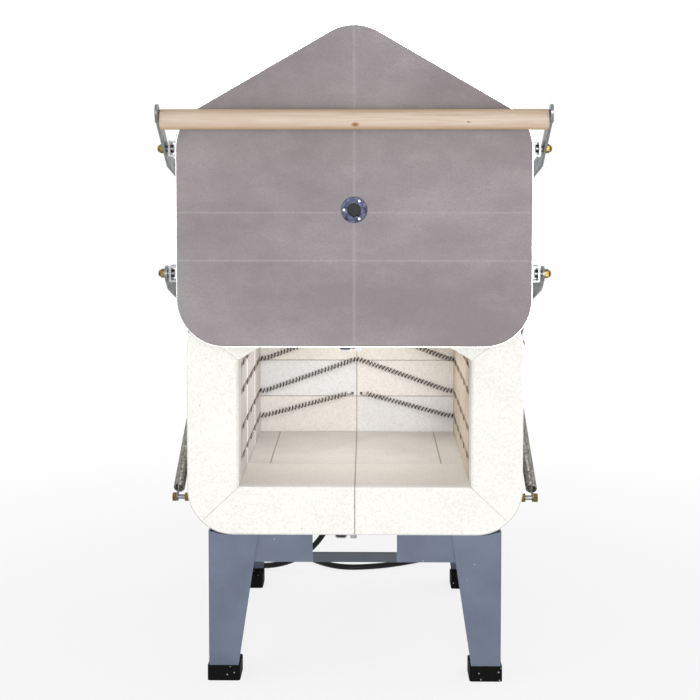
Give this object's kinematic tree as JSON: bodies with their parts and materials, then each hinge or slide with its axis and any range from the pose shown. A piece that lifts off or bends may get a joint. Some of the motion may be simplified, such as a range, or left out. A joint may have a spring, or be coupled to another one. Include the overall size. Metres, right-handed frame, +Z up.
{
  "type": "electric kiln",
  "caption": "Front-loading electric kiln of white firebrick with a gabled chamber, coil elements, a steel stand and a door raised on parallel arms.",
  "frame": {"origin": "centre of the footprint without the cord, on the floor", "axes": "+X to the right as seen from the front, +Y from the door to the back, +Z up"},
  "size_m": [0.6398, 1.1275, 1.1062],
  "materials": {
    "firebrick": "matte",
    "refractory_coating": "matte",
    "element_wire": "matte",
    "stainless_sheet": "satin",
    "zinc_plated_steel": "satin",
    "spring_steel": "satin",
    "stand_paint": "satin",
    "foot_rubber": "matte",
    "brass": "polished",
    "handle_wood": "satin",
    "cord_rubber": "matte",
    "gland_plastic": "matte",
    "plug_pins": "polished",
    "porcelain": "gloss"
  },
  "bodies": {
    "root": {"back_panel": "stainless_sheet", "back_wall_bricks": "firebrick", "body_band_clamps": "zinc_plated_steel", "body_jacket": "stainless_sheet", "body_pivot_nuts": "brass", "body_pivot_studs": "zinc_plated_steel", "cord": "cord_rubber", "cord_gland": "gland_plastic", "floor_bricks": "firebrick", "front_frame_bricks": "firebrick", "front_left_foot": "foot_rubber", "front_left_leg": "stand_paint", "front_rail": "stand_paint", "front_right_foot": "foot_rubber", "front_right_leg": "stand_paint", "left_pivot_bar": "zinc_plated_steel", "left_rail": "stand_paint", "left_wall_bricks": "firebrick", "lower_element": "element_wire", "pivot_bar_bolts": "zinc_plated_steel", "plug_blades": "plug_pins", "plug_body": "cord_rubber", "rear_left_foot": "foot_rubber", "rear_left_leg": "stand_paint", "rear_rail": "stand_paint", "rear_right_foot": "foot_rubber", "rear_right_leg": "stand_paint", "rear_screws": "zinc_plated_steel", "right_pivot_bar": "zinc_plated_steel", "right_rail": "stand_paint", "right_wall_bricks": "firebrick", "roof_bricks": "firebrick", "spring_anchor_bolts": "zinc_plated_steel", "spring_anchor_nuts": "brass", "stand_screws": "zinc_plated_steel", "terminal_blocks": "porcelain", "terminal_box_cover": "stainless_sheet", "terminal_screws": "zinc_plated_steel", "upper_element": "element_wire"},
    "upper_arms": {"left_upper_arm": "zinc_plated_steel", "right_upper_arm": "zinc_plated_steel", "handle_bar": "handle_wood", "handle_screws": "zinc_plated_steel"},
    "door": {"door_bricks": "firebrick", "door_coating": "refractory_coating", "door_band": "stainless_sheet", "door_band_clamp": "zinc_plated_steel", "peephole_tube": "stainless_sheet", "peephole_screws": "zinc_plated_steel", "door_brackets": "zinc_plated_steel", "door_pivot_bolts": "zinc_plated_steel", "door_pivot_nuts": "brass"},
    "left_lower_arm_body": {"left_lower_arm": "zinc_plated_steel", "left_tail_bolt": "zinc_plated_steel"},
    "right_lower_arm_body": {"right_lower_arm": "zinc_plated_steel", "right_tail_bolt": "zinc_plated_steel"},
    "left_spring_near_end": {"left_spring_near_half": "spring_steel"},
    "left_spring_far_end": {"left_spring_far_half": "spring_steel"},
    "right_spring_near_end": {"right_spring_near_half": "spring_steel"},
    "right_spring_far_end": {"right_spring_far_half": "spring_steel"}
  },
  "joints": [
    {"name": "door_lift", "type": "hinge", "parent": "root", "child": "upper_arms", "pos_m": [0, -0.0484, 0.76372], "axis": [1, 0, 0], "range_deg": [0, 76.2]},
    {"name": "door_level", "type": "hinge", "parent": "upper_arms", "child": "door", "pos_m": [0, -0.28161, 0.90945], "axis": [1, 0, 0], "range_deg": [-76.2, 0]},
    {"name": "left_lower_arm_swing", "type": "hinge", "parent": "root", "child": "left_lower_arm_body", "pos_m": [-0.2925, -0.0484, 0.56072], "axis": [1, 0, 0], "range_deg": [0, 76.2]},
    {"name": "left_spring_swing", "type": "hinge", "parent": "root", "child": "left_spring_near_end", "pos_m": [-0.305, -0.18705, 0.313], "axis": [1, 0, 0], "range_deg": [0, 26.8]},
    {"name": "left_spring_stretch", "type": "slide", "parent": "left_spring_near_end", "child": "left_spring_far_end", "axis": [0, 0.8861, 0.4634], "range_m": [0, 0.131], "deforming": ["left_spring_near_half", "left_spring_far_half"]},
    {"name": "right_lower_arm_swing", "type": "hinge", "parent": "root", "child": "right_lower_arm_body", "pos_m": [0.2925, -0.0484, 0.56072], "axis": [1, 0, 0], "range_deg": [0, 76.2]},
    {"name": "right_spring_swing", "type": "hinge", "parent": "root", "child": "right_spring_near_end", "pos_m": [0.305, -0.18705, 0.313], "axis": [1, 0, 0], "range_deg": [0, 26.8]},
    {"name": "right_spring_stretch", "type": "slide", "parent": "right_spring_near_end", "child": "right_spring_far_end", "axis": [0, 0.8861, 0.4634], "range_m": [0, 0.131], "deforming": ["right_spring_near_half", "right_spring_far_half"]}
  ],
  "couplings": [
    {"joint": "door_level", "follows": "door_lift", "ratio": -1},
    {"joint": "left_lower_arm_swing", "follows": "door_lift", "ratio": 1},
    {"joint": "left_spring_swing", "follows": "door_lift", "ratio": 0.35094},
    {"joint": "left_spring_stretch", "follows": "door_lift", "m_per_rad": 0.098171},
    {"joint": "right_lower_arm_swing", "follows": "door_lift", "ratio": 1},
    {"joint": "right_spring_swing", "follows": "door_lift", "ratio": 0.35094},
    {"joint": "right_spring_stretch", "follows": "door_lift", "m_per_rad": 0.098171}
  ]
}
